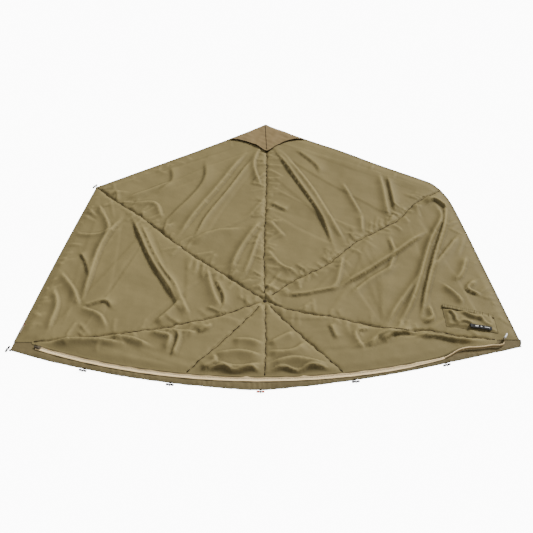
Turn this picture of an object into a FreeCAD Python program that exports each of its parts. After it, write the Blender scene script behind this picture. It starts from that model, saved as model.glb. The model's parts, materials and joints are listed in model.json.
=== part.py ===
"""Eight-gore skin of an oval umbrella shelter, laid out flat on the ground.

X runs across the skin, Y from its front hem to its hooded apex, Z up; the origin is
on the ground at the middle of the outline. The gores meet at a hub. A zip follows an
arc along the front, over a skirt whose hem runs straight from toggle to toggle; a hood
is folded back over the apex. Millimetres.
"""
import FreeCAD, Part
import math
import os
import Sketcher

DIMENSIONS = {
    "hub_y": -514, "apex_y": 1118,
    "shoulder_left": 1050, "shoulder_right": 1080, "shoulder_y": 446,
    "corner_left": 1280, "corner_right": 1302, "side_seam_x": 1190, "front_seam_x": 392,
    "arc_x": -20, "arc_y": 2326,
    "gore_radius": 3336, "zip_radius": 3358, "hem_radius": 3420,
    "under": 1.5, "rise": 12, "inset": 30, "wall": 2,
    "tape_width": 12, "hub_radius": 58, "tape_short": 36,
    "edge_leg": 6, "edge_bead": 4, "edge_height": 4, "edge_trim": 16, "edge_gap": 1,
    "skirt_lap": 12, "skirt_end": 14, "skirt_reach": 9,
    "hood_root_y": 957, "hood_tip_y": 810, "pouch": 8, "cloth": 2, "flap_gap": 0.4,
    "rib_width": 8, "rib_height": 1.2, "rib_short": 12, "mouth_margin": 5.6, "mouth_short": 48,
    "zip_left_x": 1160, "zip_flat_x": 900, "zip_tail_x": 1205,
    "chain_half": 4, "chain_height": 4, "zip_tape_width": 14, "zip_tape_height": 2,
    "tail_half": 3, "tail_height": 32, "stop_length": 8, "stop_half": 7,
    "slider_x": -1146, "slider_length": 22, "slider_half": 10, "slider_wall": 2,
    "slider_plate": 3, "slider_play": 0.3,
    "ear_height": 4.2, "ear_half": 4.2, "ear_wall": 1.8, "ear_length": 5,
    "pin_radius": 0.9, "pin_rise": 2.2, "pull_play": 0.25,
    "pull_length": 26, "pull_width": 7.4, "pull_thick": 1.9,
    "pocket_left": 944, "pocket_right": 1203, "pocket_bottom_left": -700, "pocket_bottom_right": -742,
    "pocket_top_left": -540, "pocket_top_right": -620, "mouth_width": 32, "gusset": 3,
    "label_inset": 30, "label_width": 116, "label_depth": 30, "label_thick": 1,
    "tag_length": 54, "tag_width": 15, "tag_thick": 1, "tag_foot": 26, "tag_red": 8,
    "tag_clear": 2, "tag_lift": 0.6,
    "anchor_length": 12, "anchor_height": 6,
    "cord_radius": 1.6, "cord_start": 6.4, "cord_height": 6.2, "bar_reach": 8,
    "knot_radius": 3, "knot_length": 5, "knot_taper": 1, "cord_play": 0.4,
    "bar_length": 39, "bar_radius": 5.4, "bar_taper": 2, "waist_radius": 3.8, "waist_half": 5,
}

# Where the toggles are sewn to the front hem, which runs straight from each to the next.
FRONT_TOGGLES = {"front_1": (-896, -966), "front_2": (-460, -1052), "front_3": (-20, -1094),
                 "front_4": (443, -1034), "front_5": (902, -932)}
# The hem's other bend, and its middle.
HEM_BEND = (720, -982)
HEM_MIDDLE = (0, -1094)
# The directions that the two toggles at the left end point in, in degrees from X.
CORNER_BEARING = 160
SHOULDER_BEARING = 147

UP = FreeCAD.Vector(0, 0, 1)
doc = FreeCAD.newDocument("umbrella_skin")
sheet = doc.addObject("Spreadsheet::Sheet", "dims")
subparts = []


def fill_sheet():
    """Write the driving dimensions as cells with aliases."""
    for row, (alias, size) in enumerate(DIMENSIONS.items(), start=1):
        sheet.set(f"A{row}", alias)
        sheet.set(f"B{row}", str(size))
        sheet.setAlias(f"B{row}", alias)
    doc.recompute()


def number(expression):
    """Value of an expression over the sheet's cells."""
    return float(sheet.evalExpression(str(expression).replace("dims.", "")))


def point(corner, height=0.0):
    """Vector of a corner that is given as a pair of expressions."""
    return FreeCAD.Vector(number(corner[0]), number(corner[1]), height)


def on_arc(x, radius):
    """Corner at an X on the arc of a radius about the common centre of the front."""
    return (x, f"dims.arc_y - sqrt({radius}^2 - ({x} - dims.arc_x)^2)")


def keep(feature, label):
    """Name a finished sub-part."""
    feature.Label = label
    subparts.append(feature)
    return feature


def place(feature, position, rotation=None):
    """Set a feature's Placement."""
    feature.Placement = FreeCAD.Placement(position, rotation or FreeCAD.Rotation())
    return feature


def arc_side(start, end, radius):
    """Arc about the common centre and whether it runs from start to end."""
    centre = FreeCAD.Vector(number("dims.arc_x"), number("dims.arc_y"), 0)
    first = math.atan2(start.y - centre.y, start.x - centre.x)
    last = math.atan2(end.y - centre.y, end.x - centre.x)
    circle = Part.Circle(centre, UP, number(radius))
    return Part.ArcOfCircle(circle, min(first, last), max(first, last)), first < last


def outline(name, corners, arcs=None):
    """Closed sketch through corners; side i is an arc of radius arcs[i] if that is given."""
    arcs = arcs or {}
    sketch = doc.addObject("Sketcher::SketchObject", name + "_outline")
    points = [point(corner) for corner in corners]
    ends = []
    for i, start in enumerate(points):
        end = points[(i + 1) % len(points)]
        forward = True
        side = Part.LineSegment(start, end)
        if i in arcs:
            side, forward = arc_side(start, end, arcs[i])
        sketch.addGeometry(side, False)
        ends.append((1, 2) if forward else (2, 1))
    for i, (x, y) in enumerate(corners):
        after = (i + 1) % len(corners)
        sketch.addConstraint(Sketcher.Constraint("Coincident", i, ends[i][1], after, ends[after][0]))
        for kind, size in (("DistanceX", x), ("DistanceY", y)):
            index = sketch.addConstraint(Sketcher.Constraint(kind, -1, 1, i, ends[i][0], number(size)))
            sketch.setExpression(f"Constraints[{index}]", str(size))
    for i, radius in arcs.items():
        index = sketch.addConstraint(Sketcher.Constraint("Radius", i, number(radius)))
        sketch.setExpression(f"Constraints[{index}]", str(radius))
    return sketch


def prism(name, sketch, base, height):
    """Upright prism over a sketch, from base to base plus height."""
    solid = doc.addObject("Part::Extrusion", name)
    solid.Base = sketch
    solid.DirMode = "Custom"
    solid.Dir = UP
    solid.Solid = True
    solid.setExpression("LengthFwd", str(height))
    solid.setExpression("Placement.Base.z", str(base))
    return solid


def box(name, length, width, height):
    """Box with its sides bound to the sheet."""
    solid = doc.addObject("Part::Box", name)
    solid.setExpression("Length", str(length))
    solid.setExpression("Width", str(width))
    solid.setExpression("Height", str(height))
    return solid


def cylinder(name, radius, height):
    """Upright cylinder with its size bound to the sheet."""
    solid = doc.addObject("Part::Cylinder", name)
    solid.setExpression("Radius", str(radius))
    solid.setExpression("Height", str(height))
    return solid


def boolean(kind, name, base, tool):
    """Part::Cut or Part::Fuse of two features."""
    result = doc.addObject(kind, name)
    result.Base = base
    result.Tool = tool
    return result


def strip_box(name, start, end, width, height, base, short_start=0, short_end=0):
    """Flat bar centred on the line from start to end, short of each end by a margin."""
    run = point(end) - point(start)
    length = f"sqrt(({end[0]} - ({start[0]}))^2 + ({end[1]} - ({start[1]}))^2) - {short_start} - {short_end}"
    bar = box(name, length, width, height)
    along = FreeCAD.Vector(run).normalize()
    across = UP.cross(along)
    corner = point(start, number(base)) + along * number(short_start) - across * (number(width) / 2)
    return place(bar, corner, FreeCAD.Rotation(FreeCAD.Vector(1, 0, 0), along))


HUB = ("0", "dims.hub_y")
APEX = ("0", "dims.apex_y")
PLATEAU = "dims.under + dims.rise"
SIDES = {"left": "-1", "right": "1"}
EDGE_SHARE = "(dims.apex_y - dims.hood_root_y) / (dims.apex_y - dims.shoulder_y)"


def shoulder(side):
    """Corner where the top and side edges meet."""
    return (f"{SIDES[side]} * dims.shoulder_{side}", "dims.shoulder_y")


def hood_root(side):
    """Point of the top edge where the folded hood ends."""
    return (f"{SIDES[side]} * dims.shoulder_{side} * {EDGE_SHARE}", "dims.hood_root_y")


def front_point(side, reach):
    """Point at a distance either side of the middle, on the gores' front arc."""
    return on_arc(f"{SIDES[side]} * {reach}", "dims.gore_radius")


def gore_corner(side):
    """Outer front corner of the gores."""
    return front_point(side, f"dims.corner_{side}")


def hem_corner(side):
    """Outer corner of the skirt, where it meets the front hem."""
    return on_arc(f"{SIDES[side]} * (dims.corner_{side} + dims.skirt_reach)", "dims.hem_radius")


FRONT_CENTRE = on_arc("0", "dims.gore_radius")


def gore(label, corners, arc_sides=()):
    """Cloth panel: a low closed-top shell over its outline, open underneath."""
    sketch = outline(label, corners, {i: "dims.gore_radius" for i in arc_sides})
    outer = prism(label + "_outer", sketch, "dims.under", "dims.rise")
    inner = prism(label + "_inner", sketch, "dims.under - dims.wall", "dims.rise")
    for shell in (outer, inner):
        shell.setExpression("TaperAngle", "-atan(dims.inset / dims.rise)")
    return keep(boolean("Part::Cut", label, outer, inner), label)


def gores():
    """Eight gores about the hub, four on each side."""
    for side in SIDES:
        corner = gore_corner(side)
        side_seam = front_point(side, "dims.side_seam_x")
        front_seam = front_point(side, "dims.front_seam_x")
        gore(f"gore_top_{side}", [HUB, APEX, shoulder(side)])
        gore(f"gore_{side}", [HUB, shoulder(side), corner, side_seam], [2])
        gore(f"gore_lower_{side}", [HUB, side_seam, front_seam], [1])
        gore(f"gore_front_{side}", [HUB, front_seam, FRONT_CENTRE], [1])


def seam_tape(label, end):
    """Tape under one seam, from the hub patch almost to the rim."""
    tape = strip_box(label, HUB, end, "dims.tape_width", "dims.under", "0",
                     "dims.hub_radius", "dims.tape_short")
    keep(tape, label)


def seams():
    """Hub patch and the eight seam tapes that meet at it."""
    patch = cylinder("hub_patch", "dims.hub_radius", "dims.under")
    keep(place(patch, point(HUB)), "hub_patch")
    seam_tape("seam_apex", APEX)
    seam_tape("seam_front", FRONT_CENTRE)
    for side in SIDES:
        seam_tape(f"seam_shoulder_{side}", shoulder(side))
        seam_tape(f"seam_side_{side}", front_point(side, "dims.side_seam_x"))
        seam_tape(f"seam_front_{side}", front_point(side, "dims.front_seam_x"))


def ell_profile(name, leg, bead, height):
    """Sketch of an L: a flat leg that lies inside an edge and a taller bead outside it."""
    corners = [(f"-{leg}", "0"), (bead, "0"), (bead, height), ("0", height),
               ("0", "dims.under"), (f"-{leg}", "dims.under")]
    return outline(name, corners)


def run_along(feature, foot, outward):
    """Lay a profile's extrusion flat, with its X outward from an edge and its Y up."""
    along = outward.cross(UP)
    return place(feature, foot, FreeCAD.Rotation(outward, UP, along, "ZXY"))


def edging(label, start, end, height, trim_start, trim_end):
    """Bound edge from start to end, with the outside on its left."""
    profile = ell_profile(label, "dims.edge_leg", "dims.edge_bead", height)
    length = (f"sqrt(({end[0]} - ({start[0]}))^2 + ({end[1]} - ({start[1]}))^2)"
              f" - {trim_start} - {trim_end}")
    bar = prism(label, profile, "0", length)
    along = (point(end) - point(start)).normalize()
    foot = point(start) + along * number(trim_start)
    run_along(bar, foot, UP.cross(along))
    keep(bar, label)


def edgings():
    """Bound hems of the straight edges; beside the apex they fold up into the hood."""
    hem = "dims.edge_height"
    fold = f"{PLATEAU} + dims.pouch + dims.cloth"
    trim, gap = "dims.edge_trim", "dims.edge_gap"
    edging("edge_top_left", shoulder("left"), hood_root("left"), hem, trim, gap)
    edging("hood_fold_left", hood_root("left"), APEX, fold, "0", trim)
    edging("hood_fold_right", APEX, hood_root("right"), fold, trim, "0")
    edging("edge_top_right", hood_root("right"), shoulder("right"), hem, gap, trim)
    edging("edge_left", gore_corner("left"), shoulder("left"), hem, trim, trim)
    edging("edge_right", shoulder("right"), gore_corner("right"), hem, trim, trim)


def band(label, inner, outer, left, right, base, height):
    """Strip between two arcs about the common centre, from one X to another."""
    corners = [on_arc(left, inner), on_arc(right, inner), on_arc(right, outer), on_arc(left, outer)]
    sketch = outline(label, corners, {0: inner, 2: outer})
    keep(prism(label, sketch, base, height), label)


def skirt(side):
    """Half of the ground skirt: it laps under the gores and runs to the front hem."""
    inner = "(dims.gore_radius - dims.skirt_lap)"
    lap_end = on_arc(f"{SIDES[side]} * (dims.corner_{side} - dims.skirt_end)", inner)
    bends = [spot for spot in (*FRONT_TOGGLES.values(), HEM_BEND) if spot[0] * int(SIDES[side]) > 0]
    bends.sort(key=lambda spot: -abs(spot[0]))
    hem = [(str(x), str(y)) for x, y in (*bends, HEM_MIDDLE)]
    corners = [on_arc("0", inner), lap_end, hem_corner(side), *hem]
    sketch = outline(f"skirt_{side}", corners, {0: inner})
    keep(prism(f"skirt_{side}", sketch, "0", "dims.under"), f"skirt_{side}")


def zip_strip():
    """Two tapes and the chain between them, ending in a stretch that stands on edge."""
    left = "-dims.zip_left_x"
    flat = "dims.zip_flat_x"
    chain_in = "(dims.zip_radius - dims.chain_half)"
    chain_out = "(dims.zip_radius + dims.chain_half)"
    tape_in = "(dims.zip_radius - dims.chain_half - dims.zip_tape_width)"
    tape_out = "(dims.zip_radius + dims.chain_half + dims.zip_tape_width)"
    band("zip_tape_upper", tape_in, chain_in, left, flat, "dims.under", "dims.zip_tape_height")
    band("zip_tape_lower", chain_out, tape_out, left, flat, "dims.under", "dims.zip_tape_height")
    band("zip_chain", chain_in, chain_out, left, flat, "dims.under", "dims.chain_height")
    band("zip_tail", "(dims.zip_radius - dims.tail_half)", "(dims.zip_radius + dims.tail_half)",
         flat, "dims.zip_tail_x", "dims.under", "dims.tail_height")
    stop_in = "(dims.zip_radius - dims.stop_half)"
    stop_out = "(dims.zip_radius + dims.stop_half)"
    band("zip_bottom_stop", stop_in, stop_out, "(-dims.zip_left_x - dims.stop_length)",
         left, "dims.under", "dims.chain_height")
    band("zip_tail_end", stop_in, stop_out, "dims.zip_tail_x",
         "(dims.zip_tail_x + dims.stop_length)", "dims.under", "dims.tail_height + dims.zip_tape_height")


def zip_frame(x, height):
    """Position and rotation on the zip's centre line: X along the zip, Y towards the hub."""
    spot = point(on_arc(x, "dims.zip_radius"), height)
    centre = FreeCAD.Vector(number("dims.arc_x"), number("dims.arc_y"), height)
    inward = (centre - spot).normalize()
    return spot, FreeCAD.Rotation(FreeCAD.Vector(0, 1, 0), inward)


def slider():
    """Channel that straddles the chain."""
    chain_top = "dims.under + dims.chain_height + dims.slider_play"
    tape_top = "dims.under + dims.zip_tape_height + dims.slider_play"
    half = "dims.slider_half"
    inside = "(dims.slider_half - dims.slider_wall)"
    top = f"({chain_top} + dims.slider_plate)"
    spot, turn = zip_frame("dims.slider_x", 0)
    along = turn.multVec(FreeCAD.Vector(1, 0, 0))
    inward = turn.multVec(FreeCAD.Vector(0, 1, 0))
    profile = outline("zip_slider", [
        (f"-{half}", tape_top), (f"-{inside}", tape_top), (f"-{inside}", chain_top),
        (inside, chain_top), (inside, tape_top), (half, tape_top), (half, top), (f"-{half}", top)])
    body = prism("zip_slider", profile, "0", "dims.slider_length")
    foot = spot - along * (number("dims.slider_length") / 2)
    keep(place(body, foot, FreeCAD.Rotation(inward, UP, along, "ZXY")), "zip_slider")
    pin_height = slider_bridge(spot, along, inward, top)
    zip_pull(spot + UP * pin_height, along * -1, inward * -1)


def slider_bridge(spot, along, inward, top):
    """Two ears on the slider with a pin through them; the pin's height is returned."""
    profile = outline("slider_bridge", [
        ("0", "0"), ("dims.ear_length", "0"), ("dims.ear_length", "dims.ear_height"),
        ("0", "dims.ear_height")])
    start = spot - along * (number("dims.ear_length") / 2)
    ears = []
    for name, offset in (("ear_near", "-dims.ear_half"), ("ear_far", "dims.ear_half + dims.ear_wall")):
        ear = prism(name, profile, top, "dims.ear_wall")
        corner = start + inward * number(offset) + UP * number(top)
        ears.append(place(ear, corner, FreeCAD.Rotation(along, UP, along.cross(UP), "ZXY")))
    pin_height = number(f"{top} + dims.pin_rise")
    pin = cylinder("slider_pin", "dims.pin_radius", "2 * dims.ear_half + dims.ear_wall")
    place(pin, spot - inward * number("dims.ear_half + dims.ear_wall / 2") + UP * pin_height,
          FreeCAD.Rotation(UP, inward))
    pair = boolean("Part::Fuse", "ear_pair", ears[0], ears[1])
    keep(boolean("Part::Fuse", "slider_bridge", pair, pin), "slider_bridge")
    return pin_height


def zip_pull(pin_centre, along, inward):
    """Flat pull with an eye about the slider's pin, lying off the end of the zip."""
    eye = cylinder("pull_eye", "dims.pull_thick", "dims.pull_width")
    hole = cylinder("pull_hole", "dims.pin_radius + dims.pull_play", "dims.pull_width")
    blade = box("pull_blade", "dims.pull_length", "dims.pull_width", "dims.pull_thick")
    near = pin_centre - inward * (number("dims.pull_width") / 2)
    place(eye, near, FreeCAD.Rotation(UP, inward))
    place(hole, near, FreeCAD.Rotation(UP, inward))
    below = near - UP * number("dims.pull_thick")
    place(blade, below, FreeCAD.Rotation(along, inward, along.cross(inward), "ZXY"))
    solid = boolean("Part::Fuse", "pull_solid", eye, blade)
    keep(boolean("Part::Cut", "zip_pull", solid, hole), "zip_pull")


def hood():
    """Hood folded back over the apex: a fixed crown and a lip that lifts off the pouch."""
    base = f"{PLATEAU} + dims.pouch"
    top = f"{PLATEAU} + dims.pouch + dims.cloth"
    lip_y = "dims.hood_root_y - dims.flap_gap"
    crown = outline("hood_crown", [hood_root("left"), hood_root("right"), APEX])
    keep(prism("hood_crown", crown, base, "dims.cloth"), "hood_crown")
    tip = ("0", "dims.hood_tip_y")
    lip = outline("hood_lip", [(hood_root("left")[0], lip_y), tip, (hood_root("right")[0], lip_y)])
    keep(prism("hood_lip", lip, base, "dims.cloth"), "hood_lip")
    rib = strip_box("hood_seam", ("0", "dims.hood_root_y"), APEX, "dims.rib_width", "dims.rib_height",
                    top, "dims.rib_short", "2 * dims.rib_short")
    keep(rib, "hood_seam")
    for side, sign in SIDES.items():
        shift = f"{sign} * dims.mouth_margin"
        start = (f"{hood_root(side)[0]} - {shift}", lip_y)
        end = (f"{sign} * dims.rib_width - {shift}", "dims.hood_tip_y + 2 * dims.mouth_margin")
        bar = strip_box(f"hood_mouth_{side}", start, end, "dims.rib_width", "dims.rib_height",
                        top, "dims.mouth_short", "dims.rib_short")
        keep(bar, f"hood_mouth_{side}")


def lower_edge(x, y, drop):
    """Corner moved down one side of the pocket by the width of its mouth."""
    return (x, f"{y} - {drop}")


def pocket():
    """Patch pocket on the right gore: gusset, panel, the elastic mouth that opens, label."""
    left, right = "dims.pocket_left", "dims.pocket_right"
    base = f"{PLATEAU} + dims.pouch"
    top_left, top_right = (left, "dims.pocket_top_left"), (right, "dims.pocket_top_right")
    drop = "(dims.mouth_width + dims.flap_gap)"
    left_low, right_low = lower_edge(*top_left, drop), lower_edge(*top_right, drop)
    bottom_right, bottom_left = (right, "dims.pocket_bottom_right"), (left, "dims.pocket_bottom_left")
    panel = outline("pocket_panel", [left_low, right_low, bottom_right, bottom_left])
    keep(prism("pocket_panel", panel, base, "dims.cloth"), "pocket_panel")
    inner_left, inner_right = f"{left} + dims.gusset", f"{right} - dims.gusset"
    rim = outline("pocket_gusset", [
        left_low, (inner_left, left_low[1]), (inner_left, "dims.pocket_bottom_left + dims.gusset"),
        (inner_right, "dims.pocket_bottom_right + dims.gusset"), (inner_right, right_low[1]),
        right_low, bottom_right, bottom_left])
    keep(prism("pocket_gusset", rim, PLATEAU, "dims.pouch"), "pocket_gusset")
    mouth = outline("pocket_mouth", [
        top_left, top_right, lower_edge(*top_right, "dims.mouth_width"),
        lower_edge(*top_left, "dims.mouth_width")])
    keep(prism("pocket_mouth", mouth, base, "dims.cloth"), "pocket_mouth")
    pocket_label(bottom_left, bottom_right, f"{base} + dims.cloth")


def pocket_label(bottom_left, bottom_right, base):
    """Woven label on the pocket's panel, along its lower edge near the right end."""
    height = number(base)
    end = point(bottom_right, height)
    along = (end - point(bottom_left, height)).normalize()
    corner = end - along * number("dims.label_inset + dims.label_width")
    label = box("pocket_label", "dims.label_width", "dims.label_depth", "dims.label_thick")
    keep(place(label, corner, FreeCAD.Rotation(FreeCAD.Vector(1, 0, 0), along)), "pocket_label")


def tag():
    """Care tag sewn to the left edge, lying up the slope of the gore beside it."""
    foot = gore_corner("left")
    along = (point(shoulder("left")) - point(foot)).normalize()
    slope = math.atan(number("dims.rise / dims.inset"))
    inward = along.cross(UP) * math.cos(slope) + UP * math.sin(slope)
    turn = FreeCAD.Rotation(along, inward, along.cross(inward), "ZXY")
    lift = along.cross(UP) * number("dims.tag_clear") + UP * number("dims.edge_height + dims.tag_lift")
    for label, length, offset in (("size_tag", "dims.tag_length", 0),
                                  ("size_tag_stripe", "dims.tag_red", number("dims.tag_length"))):
        flap = box(label, length, "dims.tag_width", "dims.tag_thick")
        keep(place(flap, point(foot) + along * (number("dims.tag_foot") + offset) + lift, turn), label)


def turned(name, corners):
    """Solid of revolution about its own Y through half a section."""
    solid = doc.addObject("Part::Revolution", name)
    solid.Source = outline(name, corners)
    solid.Axis = FreeCAD.Vector(0, 1, 0)
    solid.Base = FreeCAD.Vector(0, 0, 0)
    solid.Angle = 360
    solid.Solid = True
    return solid


def toggle(label, anchor, outward, base):
    """Barrel toggle on a short elastic; the elastic's sewn foot is returned."""
    profile = ell_profile(f"{label}_foot", "dims.edge_leg", "dims.edge_bead",
                          f"dims.anchor_height - {base}")
    foot = prism(f"{label}_foot", profile, base, "dims.anchor_length")
    along = outward.cross(UP)
    corner = point(anchor, number(base)) - along * (number("dims.anchor_length") / 2)
    run_along(foot, corner, outward)

    root = point(anchor, number("dims.cord_height")) + outward * number("dims.cord_start")
    reach = "dims.bar_reach + dims.waist_radius + dims.cord_play"
    elastic = turned(f"toggle_{label}_elastic", [
        ("0", "0"), ("dims.cord_radius", "0"), ("dims.cord_radius", reach),
        ("dims.knot_radius", f"{reach} + dims.knot_taper"),
        ("dims.knot_radius", f"{reach} + dims.knot_length - dims.knot_taper"),
        ("dims.cord_radius", f"{reach} + dims.knot_length"), ("0", f"{reach} + dims.knot_length")])
    place(elastic, root, FreeCAD.Rotation(along, outward, UP, "ZXY"))
    keep(elastic, f"toggle_{label}_elastic")
    toggle_bar(label, root + outward * number("dims.bar_reach"), outward, along)
    return foot


def toggle_bar(label, centre, outward, along):
    """Turned bar with a waist, drilled across for the elastic."""
    half = "dims.bar_length / 2"
    neck = "dims.waist_half + dims.bar_radius - dims.waist_radius"
    bar = turned(f"toggle_{label}_turned", [
        ("0", f"-({half})"), ("dims.waist_radius", f"-({half})"),
        ("dims.bar_radius", f"-({half}) + dims.bar_taper"), ("dims.bar_radius", f"-({neck})"),
        ("dims.waist_radius", "-dims.waist_half"), ("dims.waist_radius", "dims.waist_half"),
        ("dims.bar_radius", neck), ("dims.bar_radius", f"{half} - dims.bar_taper"),
        ("dims.waist_radius", half), ("0", half)])
    place(bar, centre, FreeCAD.Rotation(outward, along, outward.cross(along), "ZXY"))
    hole = cylinder(f"toggle_{label}_hole", "dims.cord_radius + dims.cord_play", "4 * dims.waist_radius")
    place(hole, centre - outward * number("2 * dims.waist_radius"), FreeCAD.Rotation(UP, outward))
    keep(boolean("Part::Cut", f"toggle_{label}_bar", bar, hole), f"toggle_{label}_bar")


def toggles():
    """Five toggles along the front hem, one at the left corner and one at the left shoulder."""
    centre = FreeCAD.Vector(number("dims.arc_x"), number("dims.arc_y"), 0)
    feet = []
    for label, (x, y) in FRONT_TOGGLES.items():
        anchor = (str(x), str(y))
        feet.append(toggle(label, anchor, (point(anchor) - centre).normalize(), "dims.under"))
    for label, anchor, bearing, base in (("corner", hem_corner("left"), CORNER_BEARING, "dims.under"),
                                         ("shoulder", shoulder("left"), SHOULDER_BEARING, "0")):
        outward = FreeCAD.Vector(math.cos(math.radians(bearing)), math.sin(math.radians(bearing)), 0)
        feet.append(toggle(label, anchor, outward, base))
    group = doc.addObject("Part::Compound", "toggle_feet")
    group.Links = feet
    keep(group, "toggle_feet")


def write_parts():
    """Check every feature and write one STEP file for each sub-part."""
    doc.recompute()
    for feature in doc.Objects:
        if {"Invalid", "Error"} & set(feature.State):
            raise RuntimeError(f"{feature.Label}: {feature.State}")
    os.makedirs("parts", exist_ok=True)
    for feature in subparts:
        if feature.Shape.isNull() or not feature.Shape.isValid():
            raise RuntimeError(f"{feature.Label}: bad shape")
        feature.Shape.exportStep(f"parts/{feature.Label}.step")


fill_sheet()
gores()
seams()
edgings()
skirt("left")
skirt("right")
zip_strip()
slider()
hood()
pocket()
tag()
toggles()
write_parts()
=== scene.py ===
import json
import math

import bpy
import numpy as np
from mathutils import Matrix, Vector
from mathutils.geometry import delaunay_2d_cdt
from mathutils.kdtree import KDTree


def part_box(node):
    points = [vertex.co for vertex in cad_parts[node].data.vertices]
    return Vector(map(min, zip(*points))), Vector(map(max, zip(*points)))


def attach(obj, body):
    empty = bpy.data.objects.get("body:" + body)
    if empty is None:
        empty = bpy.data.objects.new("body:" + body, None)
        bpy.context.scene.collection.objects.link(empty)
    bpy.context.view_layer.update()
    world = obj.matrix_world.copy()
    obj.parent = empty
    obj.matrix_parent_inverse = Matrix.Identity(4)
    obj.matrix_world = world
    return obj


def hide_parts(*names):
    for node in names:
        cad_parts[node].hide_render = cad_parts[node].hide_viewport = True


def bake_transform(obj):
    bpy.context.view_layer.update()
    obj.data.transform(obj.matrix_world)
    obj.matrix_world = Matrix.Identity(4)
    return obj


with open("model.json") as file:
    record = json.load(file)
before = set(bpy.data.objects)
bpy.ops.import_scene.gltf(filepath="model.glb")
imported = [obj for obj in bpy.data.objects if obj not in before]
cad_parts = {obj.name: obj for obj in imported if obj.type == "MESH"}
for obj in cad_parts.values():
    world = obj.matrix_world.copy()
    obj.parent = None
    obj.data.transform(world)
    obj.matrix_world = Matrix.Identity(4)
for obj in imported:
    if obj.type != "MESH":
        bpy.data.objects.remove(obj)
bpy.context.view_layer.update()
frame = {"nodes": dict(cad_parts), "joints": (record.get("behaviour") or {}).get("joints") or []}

NODES = frame["nodes"]
RANDOM = np.random.default_rng(8)

# ---------------------------------------------------------------- sizes of the looks (metres)
STEP = 0.0075                 # spacing of the cloth's vertices
RIM_HEIGHT = 0.0045           # the cloth's height at its rim, and away from it
BODY_HEIGHT = 0.0115
SEAM_DEPTH = 0.0068
FOLD_GAIN = 1.60
CREST = 0.18                  # roundness of a crisp fold's crest, as a share of its width
CRISP_SPREAD = 1.35           # where a crisp side meets the flat cloth, as a share of its width
CRISP_TOP = math.hypot(1, CREST)
CRISP_WIDTH = 0.0165          # a side narrower than this is crisp, with a sharp foot
LOWEST, HIGHEST = 0.0028, 0.0425
LIMIT = 0.046                 # the heights bend over towards this
CREASE_SHADE_TONE, CREST_TONE = 0.50, 1.0   # painted shade: the cloth's colour, as a factor, in its creases and on their crests
CREASE_REACH = (0.44, 0.53)
TAPE_HALF = 0.0150
FRONT_LAP = 0.003             # the gores' front edge lies this far in on the zip's upper tape
LABEL_WIDTH = 0.024
RIM_REACH = 0.055             # the cloth rises to its full height this far in from its rim
STITCH_LIFT = 0.0004          # how far stitches stand over the cloth
SEAM_ROW, RIM_ROW = 0.0068, 0.0100    # a row of stitches beside a seam, and beside a bound rim
HEM_ROWS = (0.0060, 0.0130)   # the two rows inside the front hem
HUB_PATCH_RADIUS = 0.011
ZIP_BASE = 0.0046             # height of the zip's tapes over the ground
TOOTH_PITCH = 0.0026
POCKET_RISE = 0.042           # the pocket's lower left corner over its lower right one
CORD_START = 0.0064           # from a toggle's sewn foot to its elastic's hinge


# ---------------------------------------------------------------- places from the frame
def circle_centre(a, b, c):
    """Centre of the circle through three points."""
    points = np.array((a, b, c))
    x, y, _ = np.linalg.solve(np.column_stack([2 * points, np.ones(3)]), (points ** 2).sum(1))
    return np.array((x, y))


LOW, HIGH = 0, 1
HUB = (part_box("gore_top_left")[HIGH].x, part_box("gore_top_left")[LOW].y)
APEX = (HUB[0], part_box("gore_top_left")[HIGH].y)
FRONT_LEFT = (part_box("gore_lower_left")[LOW].x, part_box("gore_left")[LOW].y)
FRONT_RIGHT = (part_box("gore_lower_right")[HIGH].x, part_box("gore_right")[LOW].y)
CORNER_LEFT = (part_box("gore_left")[LOW].x, FRONT_LEFT[1])
CORNER_RIGHT = (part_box("gore_right")[HIGH].x, FRONT_RIGHT[1])
SHOULDER_LEFT = (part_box("gore_top_left")[LOW].x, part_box("gore_left")[HIGH].y)
# The right shoulder's corner is blunt, so its seam ends a little lower on the side.
SHOULDER_RIGHT = (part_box("gore_top_right")[HIGH].x + 0.01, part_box("gore_right")[HIGH].y - 0.03)

SEAM_X_LEFT, SEAM_X_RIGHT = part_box("gore_front_left")[LOW].x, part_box("gore_front_right")[HIGH].x
ARC_CENTRE = circle_centre(FRONT_LEFT, (SEAM_X_LEFT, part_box("gore_lower_left")[LOW].y), FRONT_RIGHT)
CHAIN_HALF = 0.004
ZIP_RADIUS = ARC_CENTRE[1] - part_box("zip_chain")[LOW].y - CHAIN_HALF
HEM_RADIUS = ARC_CENTRE[1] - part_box("skirt_left")[LOW].y
TAIL_START, TAIL_END = (end.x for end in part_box("zip_tail"))
# The zip's distance from its arc, towards the hem, by the share of its tail. The slider stops before
# the tail, so the zip keeps to its arc up to there.
TAIL_SWAY = [(0.0, 0.0), (0.3, -0.03), (0.6, -0.005), (0.9, 0.015), (1.05, -0.005)]
HEM_BELLY = 0.006             # how far the hem bulges between two toggles

# The seams that bound each gore, both from the hub outwards.
GORES = {
    "top_left": ("seam_apex", "seam_shoulder_left"),
    "left": ("seam_shoulder_left", "seam_side_left"),
    "lower_left": ("seam_side_left", "seam_front_left"),
    "front_left": ("seam_front_left", "seam_front"),
    "front_right": ("seam_front", "seam_front_right"),
    "lower_right": ("seam_side_right", "seam_front_right"),
    "right": ("seam_shoulder_right", "seam_side_right"),
    "top_right": ("seam_apex", "seam_shoulder_right"),
}

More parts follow.
